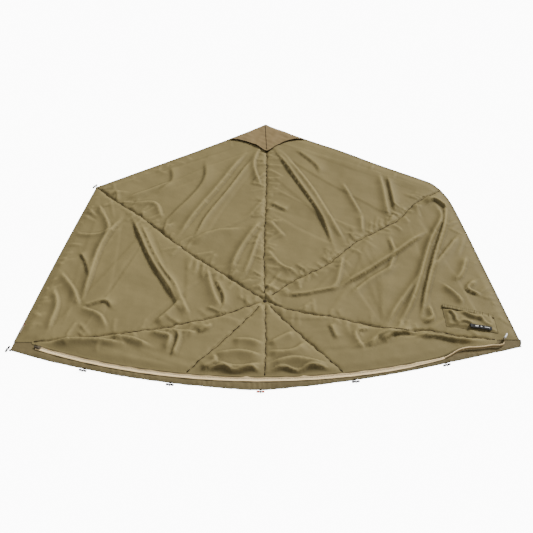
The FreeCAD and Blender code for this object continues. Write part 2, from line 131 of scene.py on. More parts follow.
# Folds of the cloth: height, half-width on the left and on the right of the line in millimetres, and
# the line's points in per cent: from the gore's first seam to its second, and from the hub outwards.
FOLDS = {
    "top_left": [
        (16, 10, 24, [(15, 85), (40, 70), (65, 60), (95, 50)]),
        (12, 18, 9, [(10, 80), (35, 65), (60, 55), (85, 45)]),
        (12, 50, 16, [(40, 90), (50, 75), (95, 60)]),
        (11, 9, 20, [(5, 85), (10, 75), (5, 60)]),
        (15, 12, 22, [(5, 40), (40, 30), (90, 20)]),
        (10, 10, 18, [(5, 35), (40, 20), (80, 15)]),
        (9, 10, 30, [(95, 85), (80, 85), (65, 85)]),
        (10, 12, 26, [(95, 80), (85, 75), (90, 65)]),
        (8, 12, 40, [(90, 45), (60, 45), (30, 40)]),
        (7, 30, 16, [(60, 95), (65, 85), (80, 80)]),
    ],
    "left": [
        (20, 10, 24, [(10, 80), (35, 85), (60, 85), (75, 85)]),
        (17, 30, 9, [(5, 75), (30, 60), (60, 45), (80, 40)]),
        (11, 20, 8, [(5, 70), (30, 55), (60, 40)]),
        (15, 30, 12, [(70, 40), (85, 45), (95, 50)]),
        (12, 10, 26, [(45, 45), (65, 40), (90, 35)]),
        (11, 10, 30, [(5, 30), (50, 25), (90, 20)]),
        (10, 22, 9, [(20, 25), (55, 20), (90, 20)]),
        (10, 9, 22, [(10, 95), (20, 85), (30, 85)]),
        (8, 8, 18, [(35, 100), (30, 90), (20, 80)]),
        (9, 22, 9, [(45, 95), (50, 90), (60, 85)]),
        (13, 10, 28, [(60, 100), (70, 90), (80, 85)]),
        (13, 10, 24, [(70, 100), (80, 95), (95, 95)]),
        (10, 26, 9, [(80, 85), (75, 75), (80, 70)]),
        (11, 9, 26, [(80, 85), (85, 75), (95, 70)]),
    ],
    "lower_left": [
        (20, 10, 26, [(5, 95), (5, 85), (20, 80), (35, 80)]),
        (16, 9, 24, [(5, 70), (25, 70), (50, 75)]),
        (13, 12, 24, [(10, 55), (45, 60), (70, 80)]),
        (12, 16, 9, [(30, 50), (55, 60), (80, 85)]),
        (12, 9, 28, [(15, 50), (60, 50)]),
        (11, 24, 9, [(60, 50), (55, 40), (40, 35)]),
    ],
    "front_left": [
        (14, 10, 26, [(10, 75), (25, 85), (15, 95)]),
        (15, 10, 30, [(25, 85), (60, 90), (95, 85)]),
        (13, 10, 34, [(10, 75), (50, 70), (95, 75)]),
        (14, 8, 12, [(20, 95), (40, 90), (60, 95), (80, 90), (95, 95)]),
        (10, 10, 30, [(20, 55), (60, 55), (95, 60)]),
    ],
    "front_right": [
        (17, 34, 10, [(90, 90), (50, 80), (5, 85)]),
        (14, 8, 12, [(5, 95), (25, 90), (45, 95), (65, 90), (90, 95)]),
        (14, 34, 10, [(90, 60), (50, 70), (5, 70)]),
        (10, 28, 10, [(90, 45), (50, 50), (5, 60)]),
    ],
    "lower_right": [
        (20, 12, 30, [(10, 70), (20, 65), (35, 70), (50, 75)]),
        (-6, 14, 12, [(15, 75), (25, 70), (40, 75)]),
        (14, 9, 26, [(5, 60), (35, 65), (65, 80)]),
        (11, 9, 24, [(10, 50), (40, 55), (70, 80)]),
        (9, 20, 12, [(40, 40), (70, 60)]),
        (15, 8, 16, [(20, 75), (10, 80), (10, 90), (5, 95)]),
    ],
    "right": [
        (23, 26, 10, [(50, 35), (40, 50), (30, 65), (25, 85)]),
        (10, 10, 20, [(65, 40), (50, 50), (40, 65)]),
        (26, 10, 18, [(10, 95), (20, 95), (35, 85), (70, 70), (95, 60)]),
        (22, 16, 9, [(10, 100), (25, 95), (45, 85), (70, 75), (90, 70)]),
        (13, 10, 20, [(55, 75), (80, 60), (95, 55)]),
        (15, 22, 10, [(5, 90), (5, 95), (15, 100)]),
        (13, 22, 9, [(35, 100), (45, 90), (55, 80)]),
        (12, 10, 20, [(50, 100), (60, 95), (65, 90)]),
        (12, 9, 22, [(65, 85), (75, 90), (80, 90)]),
        (9, 9, 16, [(10, 65), (30, 65), (45, 60)]),
        (10, 10, 22, [(5, 40), (40, 35), (55, 30)]),
        (10, 20, 10, [(40, 10), (50, 20), (50, 35)]),
        (15, 9, 20, [(80, 75), (90, 75), (95, 70)]),
        (12, 9, 16, [(75, 100), (70, 95), (65, 100)]),
    ],
    "top_right": [
        (14, 20, 9, [(5, 85), (25, 70), (55, 55), (90, 40)]),
        (14, 12, 24, [(10, 85), (35, 70), (65, 55), (95, 45)]),
        (12, 12, 26, [(70, 95), (80, 85), (95, 70)]),
        (13, 22, 10, [(75, 95), (85, 85), (95, 75)]),
        (8, 9, 20, [(55, 80), (70, 70), (80, 65)]),
        (9, 9, 20, [(80, 65), (95, 55)]),
        (8, 36, 14, [(20, 90), (35, 85), (40, 80)]),
        (8, 30, 12, [(5, 50), (25, 50)]),
        (8, 12, 30, [(5, 40), (30, 35)]),
        (8, 12, 24, [(5, 25), (40, 20), (80, 20)]),
    ],
}


# ---------------------------------------------------------------- lines and heights
def smooth_line(points, step=0.010):
    """Catmull-Rom curve through points, resampled at about one step."""
    p = np.array(points, float)
    p = np.vstack([2 * p[0] - p[1], p, 2 * p[-1] - p[-2]])
    out = []
    for i in range(1, len(p) - 2):
        count = max(2, int(np.linalg.norm(p[i + 1] - p[i]) / step))
        t = np.linspace(0, 1, count, endpoint=False)[:, None]
        a = 2 * p[i]
        b = (p[i + 1] - p[i - 1]) * t
        c = (2 * p[i - 1] - 5 * p[i] + 4 * p[i + 1] - p[i + 2]) * t ** 2
        d = (3 * p[i] - p[i - 1] - 3 * p[i + 1] + p[i + 2]) * t ** 3
        out.append((a + b + c + d) / 2)
    return np.vstack(out + [p[-2][None]])


def lengths_along(line):
    """Length of a line up to each of its points."""
    return np.concatenate([[0], np.cumsum(np.linalg.norm(np.diff(line, axis=0), axis=1))])


def left_of(line):
    """Unit vector to the left at each point of a line."""
    tangent = np.gradient(line, axis=0)
    tangent /= np.linalg.norm(tangent, axis=1)[:, None]
    return np.stack([-tangent[:, 1], tangent[:, 0]], 1)


def along_line(xy, line):
    """For each point: distance to a line, positive on its left, and the share of its length there."""
    best = np.full(len(xy), np.inf)
    signed = np.zeros(len(xy))
    share = np.zeros(len(xy))
    lengths = np.linalg.norm(np.diff(line, axis=0), axis=1)
    before = np.concatenate([[0], np.cumsum(lengths)])
    for i, length in enumerate(lengths):
        if length == 0:
            continue
        a, d = line[i], (line[i + 1] - line[i]) / length
        v = xy - a
        t = np.clip(v @ d, 0, length)
        away = v - t[:, None] * d
        distance = np.hypot(away[:, 0], away[:, 1])
        nearer = distance < best
        best[nearer] = distance[nearer]
        left = (d[0] * away[:, 1] - d[1] * away[:, 0]) >= 0
        signed[nearer] = np.where(left, distance, -distance)[nearer]
        share[nearer] = ((before[i] + t) / before[-1])[nearer]
    return signed, share


def shifted(line, offset):
    """A line moved sideways, to its left."""
    return line + np.reshape(offset, (-1, 1)) * left_of(line)


def wandering(line, size=0.0017):
    """A line that strays a little to both sides, but not at its ends."""
    reach = lengths_along(line)
    ends = ease(reach / 0.08) * ease((reach[-1] - reach) / 0.08)
    phase = len(line)
    stray = (np.sin(reach * 71 + phase) + 0.7 * np.sin(reach * 117 + 2 * phase)
             + 0.5 * np.sin(reach * 33 + phase))
    return shifted(line, size * stray * ends)


def near(xy, line, reach):
    """Indices of the points in a line's bounding box, grown by a reach."""
    low, high = line.min(0) - reach, line.max(0) + reach
    return np.flatnonzero(((xy >= low) & (xy <= high)).all(1))


def ease(t):
    """Smoothstep of a share."""
    t = np.clip(t, 0, 1)
    return t * t * (3 - 2 * t)


def table(pairs, x):
    """Value at x, straight between pairs of (x, value)."""
    px, py = np.array(pairs, float).T
    return np.interp(x, px, py)


def arc_y(x, radius):
    """Y of the front's arc of a radius at X."""
    return ARC_CENTRE[1] - np.sqrt(radius ** 2 - (x - ARC_CENTRE[0]) ** 2)


def zip_y(x):
    """Y of the zip's centre line at X."""
    share = (x - TAIL_START) / (TAIL_END - TAIL_START)
    soft = np.array([table(TAIL_SWAY, share + d) for d in (-0.10, -0.05, 0, 0.05, 0.10)]).mean(0)
    return arc_y(x, ZIP_RADIUS) - soft


def zip_line(first, last, step=0.006):
    """Centre line of the zip from one X to another."""
    x = np.arange(first, last, step)
    return np.stack([x, zip_y(x)], 1)


def front_y(x):
    """Y of the gores' front edge at X, along the zip's upper tape."""
    return zip_y(x) + TAPE_HALF - FRONT_LAP


def front_line(first, last):
    """Front edge of the gores from one X to another."""
    x = np.arange(first, last, STEP)
    return np.stack([x, front_y(x)], 1)


def front_end(x):
    """Where a seam at X ends on the front edge."""
    return (x, front_y(x))


def bowed(start, end, bows=()):
    """Points from one place to another; a bow is (share of the way, distance to the left)."""
    start, run = np.array(start), np.subtract(end, start)
    left = np.array((-run[1], run[0])) / np.linalg.norm(run)
    return [start, *(start + run * share + left * away for share, away in bows), start + run]


def at_share(line, share):
    """Point at a share of a line's length."""
    reach = lengths_along(line)
    return np.array([np.interp(share * reach[-1], reach, line[:, i]) for i in (0, 1)])


def gore_point(gore, across, outward):
    """Point of a gore at its shares between its two seams and outwards from the hub."""
    first, second = (at_share(smooth_line(SEAMS[name]), outward) for name in GORES[gore])
    return first + across * (second - first)


def placed_folds():
    """The folds of all the gores, in metres."""
    return [(height / 1000, left / 1000, right / 1000,
             [gore_point(gore, across / 100, outward / 100) for across, outward in line])
            for gore, folds in FOLDS.items() for height, left, right, line in folds]


def puckers():
    """Short stitch puckers across the seams and the rims, at random."""
    found = []
    lines = [SEAMS[k] for k in ("seam_apex", "seam_shoulder_left", "seam_shoulder_right")] * 2
    lines += [SEAMS[k] for k in ("seam_side_left", "seam_side_right")]
    lines += [RIMS[k] for k in ("left", "left", "top_left", "top_right", "right")]
    for points in lines:
        line = smooth_line(points, 0.02)
        tangents = np.gradient(line, axis=0)
        for p, t in zip(line[2:-2], tangents[2:-2]):
            if RANDOM.random() > 0.55:
                continue
            t = t / np.linalg.norm(t)
            across = np.array((-t[1], t[0])) * RANDOM.choice((-1, 1)) + t * RANDOM.normal(0, 0.6)
            length = RANDOM.uniform(0.03, 0.12)
            bend = t * RANDOM.normal(0, 0.004)
            end = p + across * length
            if inside(end[None], OUTLINE)[0]:
                height = RANDOM.uniform(0.0012, 0.0036)
                width = RANDOM.uniform(0.007, 0.012)
                found.append((height, width, width * 1.9, [p, (p + end) / 2 + bend, end]))
    return found


def tension_lines():
    """Faint creases that cross the gores from seam to seam, at random."""
    found = []
    pairs = [("seam_apex", "seam_shoulder_left"), ("seam_apex", "seam_shoulder_right"),
             ("seam_shoulder_left", "seam_side_left"), ("seam_shoulder_right", "seam_side_right")] * 9
    pairs += [("seam_side_left", "seam_front_left"), ("seam_side_right", "seam_front_right")] * 5
    for first, second in pairs:
        a, b = (smooth_line(SEAMS[name], 0.02) for name in (first, second))
        share = RANDOM.uniform(0.25, 0.95)
        start = a[int(share * (len(a) - 1))]
        end = b[int(np.clip(share + RANDOM.normal(0, 0.25), 0.15, 0.98) * (len(b) - 1))]
        middle = (start + end) / 2 + RANDOM.normal(0, 0.03, 2)
        height = RANDOM.uniform(0.0010, 0.0026)
        sides = (RANDOM.uniform(0.010, 0.015), RANDOM.uniform(0.040, 0.090))
        found.append((height, *(sides if RANDOM.random() < 0.5 else sides[::-1]), [start, middle, end]))
    return found


def feature_points():
    """Points along the crest and the feet of every crisp fold, for the mesh to follow."""
    found = []
    for _, left, right, line in ALL_FOLDS:
        found.append(line)
        for width, sign in ((left, 1), (right, -1)):
            if width < CRISP_WIDTH:
                found.append(shifted(line, sign * width * CRISP_SPREAD))
    return np.vstack(found)


def inside(xy, polygon):
    """Whether each point is in a closed polygon."""
    result = np.zeros(len(xy), bool)
    a, b = polygon, np.roll(polygon, -1, 0)
    for (x0, y0), (x1, y1) in zip(a, b):
        if y0 == y1:
            continue
        crosses = (y0 > xy[:, 1]) != (y1 > xy[:, 1])
        result ^= crosses & (xy[:, 0] < (x1 - x0) * (xy[:, 1] - y0) / (y1 - y0) + x0)
    return result


def ripple(xy, wavelength, count, seed):
    """Sum of waves in random directions, about -1 to 1."""
    rng = np.random.default_rng(seed)
    total = np.zeros(len(xy))
    for _ in range(count):
        angle, phase = rng.uniform(0, 2 * math.pi, 2)
        k = 2 * math.pi / (wavelength * rng.uniform(0.7, 1.5))
        bend = 0.6 * np.sin((xy[:, 0] * math.sin(angle) - xy[:, 1] * math.cos(angle)) * k * 0.37 + phase)
        total += np.sin((xy[:, 0] * math.cos(angle) + xy[:, 1] * math.sin(angle)) * k + phase + bend)
    return total / math.sqrt(count)


SEAMS = {
    "seam_apex": bowed(HUB, APEX, [(0.25, 0.005), (0.5, -0.005), (0.8, -0.01)]),
    "seam_shoulder_right": bowed(HUB, SHOULDER_RIGHT, [(0.15, 0.01), (0.3, -0.02), (0.5, 0.005),
                                                       (0.7, -0.02), (0.85, 0.015)]),
    "seam_side_right": bowed(HUB, FRONT_RIGHT, [(0.15, -0.04), (0.35, -0.04), (0.6, -0.06), (0.7, -0.02),
                                                (0.85, -0.02)]),
    "seam_front_right": bowed(HUB, front_end(SEAM_X_RIGHT), [(0.4, -0.01)]),
    "seam_front": bowed(HUB, front_end(HUB[0]), [(0.5, 0.005)]),
    "seam_front_left": bowed(HUB, front_end(SEAM_X_LEFT), [(0.4, 0.01)]),
    "seam_side_left": bowed(HUB, FRONT_LEFT, [(0.2, 0.05), (0.35, 0.06), (0.55, 0.06), (0.75, 0.04)]),
    "seam_shoulder_left": bowed(HUB, SHOULDER_LEFT, [(0.2, 0.01), (0.45, 0.02), (0.7, 0.0), (0.85, 0.01)]),
}
RIMS = {
    "top_left": bowed(APEX, SHOULDER_LEFT, [(0.25, 0.01), (0.5, 0.01)]),
    "left": bowed(SHOULDER_LEFT, CORNER_LEFT, [(0.5, -0.005)]),
    "front_left_end": bowed(CORNER_LEFT, FRONT_LEFT),
    "front_right_end": bowed(FRONT_RIGHT, CORNER_RIGHT),
    "right": bowed(CORNER_RIGHT, SHOULDER_RIGHT, [(0.35, -0.01), (0.7, -0.02), (0.9, -0.02)]),
    "top_right": bowed(SHOULDER_RIGHT, APEX, [(0.06, -0.03), (0.15, -0.03), (0.35, -0.02), (0.55, -0.02),
                                              (0.75, -0.005)]),
}
SEAM_LINES = {name: wandering(smooth_line(points)) for name, points in SEAMS.items()}
RIM_LINES = {name: smooth_line(points) for name, points in RIMS.items()}
FRONT_EDGE = front_line(FRONT_LEFT[0] + STEP / 2, FRONT_RIGHT[0])
OUTLINE = np.vstack([RIM_LINES["top_left"], RIM_LINES["left"], RIM_LINES["front_left_end"], FRONT_EDGE,
                     RIM_LINES["front_right_end"], RIM_LINES["right"], RIM_LINES["top_right"]])
ALL_FOLDS = [(h, l, r, smooth_line(p, 0.007)) for h, l, r, p in placed_folds() + puckers() + tension_lines()]
FEATURES = feature_points()


def fold_height(xy, height, left, right, line):
    """One fold: a ridge with its own slope on each side, fading towards its ends."""
    result = np.zeros(len(xy))
    index = near(xy, line, 3 * max(left, right))
    if len(index):
        signed, share = along_line(xy[index], line)
        width = np.where(signed > 0, left, right)
        fade = ease(share / 0.22) * ease((1 - share) / 0.22)
        u = np.abs(signed) / width
        drop = CRISP_TOP - np.sqrt((u / CRISP_SPREAD) ** 2 + CREST ** 2)
        crisp = np.clip(drop / (CRISP_TOP - CREST), 0, 1)
        soft = np.exp(-u ** 1.5)
        profile = np.where(width < CRISP_WIDTH, crisp, soft)
        result[index] = FOLD_GAIN * height * profile * (0.10 + 0.90 * fade)
    return result


def cloth_height(xy):
    """Height of the cloth over the ground."""
    closed = np.vstack([OUTLINE, OUTLINE[:1]])
    rim = np.abs(along_line(xy, closed)[0])
    body = ease(rim / RIM_REACH)
    height = RIM_HEIGHT + (BODY_HEIGHT - RIM_HEIGHT) * body
    for line in SEAM_LINES.values():
        index = near(xy, line, 0.06)
        if len(index):
            signed, share = along_line(xy[index], line)
            drawn = 0.0009 * np.sin(share * len(line) * 4.1) + 0.0007 * np.sin(share * len(line) * 1.7 + 2)
            deep = SEAM_DEPTH * (1 + 0.45 * np.sin(share * len(line) * 0.23 + len(line)))
            height[index] -= deep * np.exp(-np.abs(signed) / 0.008) * body[index]
            height[index] += drawn * np.exp(-np.abs(signed) / 0.020) * body[index]
    folds = np.zeros(len(xy))
    for fold in ALL_FOLDS:
        folds += fold_height(xy, *fold)
    height += folds * (0.18 + 0.82 * body)
    height += 0.0016 * ripple(xy, 0.45, 7, 1) * body
    height += 0.0011 * ripple(xy, 0.17, 9, 2) * (0.3 + 0.7 * body)
    height += 0.0004 * ripple(xy, 0.07, 11, 3) * (0.3 + 0.7 * body)
    return np.clip(LIMIT * np.tanh(height / LIMIT), LOWEST, HIGHEST)


# ---------------------------------------------------------------- materials
def material(name, colour, roughness, metallic=0.0, specular=0.5):
    """Principled material with its constant values set on the shader."""
    mat = bpy.data.materials.new(name)
    mat.use_nodes = True
    shader = mat.node_tree.nodes["Principled BSDF"]
    shader.inputs["Base Color"].default_value = (*colour, 1)
    shader.inputs["Roughness"].default_value = roughness
    shader.inputs["Metallic"].default_value = metallic
    shader.inputs["Specular IOR Level"].default_value = specular
    return mat, mat.node_tree, shader


def coordinates(tree, scale=(1, 1, 1)):
    """Object coordinates, scaled."""
    source = tree.nodes.new("ShaderNodeTexCoord")
    mapping = tree.nodes.new("ShaderNodeMapping")
    mapping.inputs["Scale"].default_value = scale
    tree.links.new(source.outputs["Object"], mapping.inputs["Vector"])
    return mapping.outputs["Vector"]


def noise(tree, scale, detail=4, stretch=(1, 1, 1)):
    """Noise over the object."""
    node = tree.nodes.new("ShaderNodeTexNoise")
    node.inputs["Scale"].default_value = scale
    node.inputs["Detail"].default_value = detail
    tree.links.new(coordinates(tree, stretch), node.inputs["Vector"])
    return node.outputs["Fac"]


def blend_colours(tree, factor, low, high, start=0.3, end=0.7):
    """Ramp between two colours by a factor."""
    ramp = tree.nodes.new("ShaderNodeValToRGB")
    ramp.color_ramp.elements[0].position = start
    ramp.color_ramp.elements[1].position = end
    ramp.color_ramp.elements[0].color = (*low, 1)
    ramp.color_ramp.elements[1].color = (*high, 1)
    tree.links.new(factor, ramp.inputs["Fac"])
    return ramp.outputs["Color"]


def bumps(tree, shader, layers):
    """Chain of bump layers, each (height socket, strength, distance)."""
    previous = None
    for height, strength, distance in layers:
        bump = tree.nodes.new("ShaderNodeBump")
        bump.inputs["Strength"].default_value = strength
        bump.inputs["Distance"].default_value = distance
        tree.links.new(height, bump.inputs["Height"])
        if previous:
            tree.links.new(previous, bump.inputs["Normal"])
        previous = bump.outputs["Normal"]
    tree.links.new(previous, shader.inputs["Normal"])


def weave(tree, pitch):
    """Plain weave: product of two waves across each other."""
    waves = []
    for direction in ("X", "Y"):
        wave = tree.nodes.new("ShaderNodeTexWave")
        wave.bands_direction = direction
        wave.inputs["Scale"].default_value = 0.314 / pitch
        wave.inputs["Distortion"].default_value = 0.4
        tree.links.new(coordinates(tree), wave.inputs["Vector"])
        waves.append(wave.outputs["Fac"])
    product = tree.nodes.new("ShaderNodeMath")
    product.operation = "MULTIPLY"
    tree.links.new(waves[0], product.inputs[0])
    tree.links.new(waves[1], product.inputs[1])
    return product.outputs["Value"]


def painted_crease_shade(tree, colour):
    """Painted shade: darkens the colour in creases and lightens it on their crests, by the mesh's pointiness.
    """
    shape = tree.nodes.new("ShaderNodeNewGeometry").outputs["Pointiness"]
    tone = blend_colours(tree, shape, (CREASE_SHADE_TONE,) * 3, (CREST_TONE,) * 3, *CREASE_REACH)
    product = tree.nodes.new("ShaderNodeVectorMath")
    product.operation = "MULTIPLY"
    tree.links.new(colour, product.inputs[0])
    tree.links.new(tone, product.inputs[1])
    return product.outputs["Vector"]


def fabric(name, colour, roughness=0.5, pitch=0.0006, sheen=0.0, shift=0.10, specular=0.4, crumple=0.5,
           shade_creases=False):
    """Woven cloth: thread relief, small crumples, uneven dye, and painted shade in its creases when asked."""
    mat, tree, shader = material(name, colour, roughness, specular=specular)
    low = tuple(c * (1 - shift) for c in colour)
    high = tuple(min(1, c * (1 + shift)) for c in colour)
    dye = blend_colours(tree, noise(tree, 5, 6), low, high)
    # painted shade: the creases darken the dyed colour
    tree.links.new(painted_crease_shade(tree, dye) if shade_creases else dye, shader.inputs["Base Color"])
    shader.inputs["Sheen Weight"].default_value = sheen
    shader.inputs["Sheen Roughness"].default_value = 0.5
    bumps(tree, shader, [
        (noise(tree, 26, 5), crumple, 0.0025),
        (noise(tree, 90, 3), crumple * 0.5, 0.0006),
        (weave(tree, pitch), 0.35, pitch / 3)])
    return mat


def plastic(name, colour, roughness=0.35):
    """Moulded plastic with fine scuffs."""
    mat, tree, shader = material(name, colour, roughness)
    low = tuple(c * 0.8 for c in colour)
    high = tuple(min(1, c * 1.25 + 0.01) for c in colour)
    tree.links.new(blend_colours(tree, noise(tree, 160, 4), low, high), shader.inputs["Base Color"])
    bumps(tree, shader, [(noise(tree, 420, 3), 0.25, 0.0003)])
    return mat


def metal(name, colour, roughness=0.3):
    """Painted or plated metal with worn patches."""
    mat, tree, shader = material(name, colour, roughness, metallic=0.9)
    low = tuple(c * 0.6 for c in colour)
    tree.links.new(blend_colours(tree, noise(tree, 240, 5), low, colour), shader.inputs["Base Color"])
    bumps(tree, shader, [(noise(tree, 500, 2), 0.2, 0.0002)])
    return mat


def two_tone(name, ends, middle, centre, reach):
    """Plastic that changes colour at a distance from a centre."""
    mat, tree, shader = material(name, ends, 0.38)
    source = tree.nodes.new("ShaderNodeTexCoord")
    away = tree.nodes.new("ShaderNodeVectorMath")
    away.operation = "DISTANCE"
    away.inputs[1].default_value = centre
    tree.links.new(source.outputs["Object"], away.inputs[0])
    scaled = tree.nodes.new("ShaderNodeMath")
    scaled.operation = "MULTIPLY"
    scaled.inputs[1].default_value = 0.5 / reach
    tree.links.new(away.outputs["Value"], scaled.inputs[0])
    colour = blend_colours(tree, scaled.outputs["Value"], middle, ends, 0.46, 0.54)
    tree.links.new(colour, shader.inputs["Base Color"])
    bumps(tree, shader, [(noise(tree, 420, 3), 0.25, 0.0003)])
    return mat


# the main cloth carries painted shade in its creases
CLOTH = fabric("coated_cloth", (0.222, 0.178, 0.080), 0.62, shift=0.06, specular=0.05, shade_creases=True)
REVERSE = fabric("cloth_reverse", (0.208, 0.150, 0.072), 0.6, shift=0.08, specular=0.06)
SKIRT = fabric("skirt_cloth", (0.130, 0.102, 0.049), 0.6, shift=0.14, specular=0.06, crumple=0.9)
EDGING = fabric("edge_binding", (0.070, 0.062, 0.030), 0.6, pitch=0.0009, specular=0.1)
# near-black: the seams' own binding, made dark enough to stand in for the painted shade in the seam valleys
# too
SEAM = fabric("seam_binding", (0.026, 0.018, 0.008), 0.7, pitch=0.0009, specular=0.05)
THREAD = fabric("thread", (0.060, 0.044, 0.020), 0.6, pitch=0.0004, specular=0.1)
TAPE = fabric("zip_tape", (0.76, 0.57, 0.29), 0.6, pitch=0.0011, shift=0.05)
TEETH = plastic("zip_teeth", (0.84, 0.66, 0.40), 0.35)
BLACK = plastic("black_plastic", (0.012, 0.012, 0.013), 0.4)
WHITE_END = plastic("white_end", (0.86, 0.85, 0.82), 0.4)
LABEL = fabric("label", (0.008, 0.008, 0.009), 0.6, pitch=0.0005, specular=0.1)
LABEL_BAR = fabric("label_bar", (0.62, 0.62, 0.60), 0.55, pitch=0.0005, sheen=0.15)
TAG = fabric("tag_tape", (0.34, 0.27, 0.16), 0.6, sheen=0.15)
TAG_RED = fabric("tag_red", (0.22, 0.03, 0.03), 0.6, sheen=0.15)
ELASTIC = fabric("elastic", (0.016, 0.016, 0.016), 0.7, pitch=0.0008, sheen=0.15)
METAL = metal("dark_metal", (0.24, 0.20, 0.14), 0.35)


# ---------------------------------------------------------------- pieces
def mesh_piece(name, vertices, faces, mat, body="skin"):
    """Smooth mesh that rides on a body."""
    mesh = bpy.data.meshes.new(name)
    mesh.from_pydata([tuple(v) for v in vertices], [], [tuple(f) for f in faces])
    mesh.polygons.foreach_set("use_smooth", [True] * len(mesh.polygons))
    mesh.materials.append(mat)
    mesh.update()
    obj = bpy.data.objects.new(name, mesh)
    bpy.context.scene.collection.objects.link(obj)
    if body:
        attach(obj, body)
    return obj


def thinned(points, gap):
    """Points with no more than one in each cell of a grid."""
    cells = np.floor(points / gap).astype(int)
    return points[np.unique(cells, axis=0, return_index=True)[1]]


def apart(points, others, gap):
    """Whether each point is at least a gap from all the others."""
    tree = KDTree(len(others))
    for i, (x, y) in enumerate(others):
        tree.insert((x, y, 0), i)
    tree.balance()
    return np.array([tree.find((x, y, 0))[2] > gap for x, y in points])


def panel_mesh(polygon, step, features=None):
    """Triangles that fill a polygon and follow some feature points: (points, faces)."""
    low, high = polygon.min(0), polygon.max(0)
    rows = np.arange(low[1], high[1], step * 0.866)
    points = []
    for i, y in enumerate(rows):
        x = np.arange(low[0] + (i % 2) * step / 2, high[0], step)
        points.append(np.stack([x, np.full(len(x), y)], 1))
    grid = np.vstack(points)
    grid = grid[inside(grid, polygon)]
    if features is not None:
        followed = thinned(features[inside(features, polygon)], 0.55 * step)
        grid = np.vstack([followed, grid[apart(grid, followed, 0.6 * step)]])
    closed = np.vstack([polygon, polygon[:1]])
    grid = grid[np.abs(along_line(grid, closed)[0]) > 0.5 * step]
    vertices = [Vector(p) for p in np.vstack([polygon, grid])]
    result = delaunay_2d_cdt(vertices, [], [list(range(len(polygon)))], 1, 1e-6)
    return np.array([tuple(v) for v in result[0]]), [list(f) for f in result[2]]


def relaxed(height, faces, share=0.30):
    """Heights moved a share of the way to their neighbours' mean, but not on the panel's border."""
    corners = np.array(faces)
    edges = np.vstack([corners[:, (0, 1)], corners[:, (1, 2)], corners[:, (2, 0)]])
    total, count = np.zeros(len(height)), np.zeros(len(height))
    for a, b in ((0, 1), (1, 0)):
        np.add.at(total, edges[:, a], height[edges[:, b]])
        np.add.at(count, edges[:, a], 1)
    pairs, uses = np.unique(np.sort(edges, axis=1), axis=0, return_counts=True)
    moved = height + share * (total / np.maximum(count, 1) - height)
    border = np.unique(pairs[uses == 1])
    moved[border] = height[border]
    return moved


def polygon_area(polygon):
    """Area of a polygon."""
    x, y = polygon.T
    return abs(np.dot(x, np.roll(y, -1)) - np.dot(y, np.roll(x, -1))) / 2


def flat_sheet(obj, polygon, held="laid", slack=1.03, **kwargs):
    """Works out the area of a piece of cloth cut to a polygon; it is not kept."""
    size = (polygon.max(0) - polygon.min(0)) * slack
    area = min(polygon_area(polygon) * slack, 0.999 * size[0] * size[1])
    if area >= 0.3 * size[0] * size[1]:
        kwargs["area"] = float(area)


def strip_faces(rings, count):
    """Faces between rings of a count of points each, with capped ends."""
    faces = []
    for i in range(rings - 1):
        for j in range(count):
            k = (j + 1) % count
            faces.append((i * count + j, i * count + k, (i + 1) * count + k, (i + 1) * count + j))
    faces.append(tuple(range(count))[::-1])
    faces.append(tuple(range((rings - 1) * count, rings * count)))
    return faces


def sweep(name, line, profile, mat, body="skin", *, height, width=None):
    """Strip along a line: profile is (across to the left, up), width scales the first at each point."""
    line = np.array(line, float)
    across = left_of(line[:, :2])
    rings = []
    scale = np.ones(len(line)) if width is None else width
    for side, up in profile:
        xy = line[:, :2] + across * (side * scale)[:, None]
        rings.append(np.column_stack([xy, height + up]))
    vertices = np.stack(rings, 1).reshape(-1, 3)
    return mesh_piece(name, vertices, strip_faces(len(line), len(profile)), mat, body)


def stitches(name, line, heights, offsets, mat, length=0.0032, pitch=0.0046, radius=0.00035):
    """Rows of short stitches beside a line, as one piece."""
    line = np.array(line, float)
    reach = lengths_along(line)
    spots = np.arange(pitch, reach[-1] - pitch, pitch)
    x, y = (np.interp(spots, reach, line[:, i]) for i in (0, 1))
    z = np.interp(spots, reach, heights)
    tx, ty = (np.interp(spots, reach, np.gradient(line[:, i], reach)) for i in (0, 1))
    size = np.hypot(tx, ty)
    tx, ty = tx / size, ty / size
    vertices, faces = [], []
    for offset in offsets:
        for i in range(len(spots)):
            start = len(vertices)
            for end, lift in ((-0.5, 0.0), (-0.2, 1.0), (0.2, 1.0), (0.5, 0.0)):
                for side in (-1, 1):
                    shift = offset + side * radius
                    vertices.append((x[i] + tx[i] * end * length - ty[i] * shift,
                                     y[i] + ty[i] * end * length + tx[i] * shift,
                                     z[i] + radius * 1.6 * lift - 0.0002))
            for j in range(3):
                a = start + 2 * j
                faces.append((a, a + 1, a + 3, a + 2))
    return mesh_piece(name, vertices, faces, mat, "skin")


